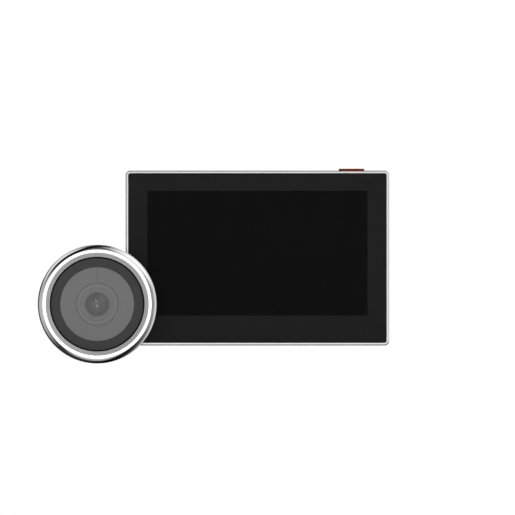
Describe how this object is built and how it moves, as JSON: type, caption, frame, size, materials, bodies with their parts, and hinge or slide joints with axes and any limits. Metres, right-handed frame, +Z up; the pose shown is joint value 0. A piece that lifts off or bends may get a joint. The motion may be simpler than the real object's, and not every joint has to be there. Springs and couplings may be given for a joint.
{
  "type": "peephole door camera",
  "caption": "Round chrome-ringed door camera with a threaded barrel and ring nut, beside a flat indoor monitor that hangs on the hooks of a door bracket and has a push button on top.",
  "frame": {"origin": "middle of the bracket's barrel hole, on the bracket's face that lies on the door", "axes": "+X to the right as seen by a person in front of the screen, +Y into the door along the barrel hole, +Z up"},
  "size_m": [0.1517, 0.0328, 0.084],
  "materials": {
    "bracket_steel": "zinc-plated sheet steel",
    "barrel_metal": "nickel-plated turned metal",
    "chrome": "polished chrome plating",
    "case_black": "fine-textured black moulding",
    "frame_silver": "satin silver",
    "cover_glass": "clear front with a dark print behind it",
    "display": "switched-off display",
    "white_plastic": "white moulding",
    "foam": "closed-cell foam and rubber",
    "ir_dark": "dark infrared window",
    "face_grey": "satin grey paint",
    "lens_glass": "coated glass",
    "clear_glass": "ground glass elements",
    "board_green": "solder mask",
    "chip_black": "moulded packages",
    "contact_metal": "gold-plated spring metal",
    "screw_steel": "plated screws",
    "flex_amber": "polyimide film",
    "button_red": "dark red-brown moulding",
    "battery_wrap": "plastic wrap"
  },
  "bodies": {
    "door_set": {"door_bracket": "bracket_steel", "camera_base": "case_black", "door_barrel": "barrel_metal", "door_gasket": "foam", "cable_grommet": "foam", "chrome_bezel": "chrome", "bezel_seal": "foam", "ir_window": "ir_dark", "face_plate": "face_grey", "lens_collar": "face_grey", "fisheye_lens": "lens_glass", "camera_body": "case_black", "lens_barrel": "case_black", "inner_lenses": "clear_glass", "lens_mount": "case_black", "image_sensor": "chip_black", "sensor_board": "board_green", "cable_socket": "white_plastic", "ir_board": "board_green", "ir_leds": "clear_glass", "base_oring": "foam", "base_screws": "screw_steel"},
    "clamp_washer": {"clamp_washer": "barrel_metal"},
    "clamp_nut": {"clamp_nut": "barrel_metal"},
    "monitor": {"front_frame": "frame_silver", "cover_lens": "cover_glass", "lens_mask": "foam", "lcd_panel": "display", "backlight_tray": "white_plastic", "lcd_flex": "flex_amber", "lcd_socket": "white_plastic", "main_board": "board_green", "board_chips": "chip_black", "board_screws": "screw_steel", "camera_socket": "white_plastic", "charge_socket": "barrel_metal", "tact_switch": "chip_black", "speaker": "chip_black", "speaker_grille": "case_black", "battery_pack": "battery_wrap", "battery_contacts": "contact_metal", "rear_cover": "case_black", "case_screws": "screw_steel"},
    "battery_door": {"battery_door": "case_black"},
    "power_button": {"power_button": "button_red", "switch_plunger": "white_plastic"}
  },
  "joints": [
    {"name": "monitor_lift", "type": "slide", "parent": "door_set", "child": "monitor", "axis": [0, 0, 1], "range_m": [0, 0.0065]},
    {"name": "button_press", "type": "slide", "parent": "monitor", "child": "power_button", "axis": [0, 0, -1], "range_m": [0, 0.0006], "stiffness_N_per_m": 900},
    {"name": "battery_door_slide", "type": "slide", "parent": "monitor", "child": "battery_door", "axis": [1, 0, 0], "range_m": [0, 0.02]},
    {"name": "washer_travel", "type": "slide", "parent": "door_set", "child": "clamp_washer", "axis": [0, 1, 0], "range_m": [0, 0.0107]},
    {"name": "nut_turn", "type": "hinge", "parent": "clamp_washer", "child": "clamp_nut", "pos_m": [-0.06915, -0.015, -0.0199], "axis": [0, 1, 0], "range_deg": [0, 2520]}
  ],
  "couplings": [
    {"joint": "washer_travel", "follows": "nut_turn", "m_per_rad": 0.00023873}
  ]
}
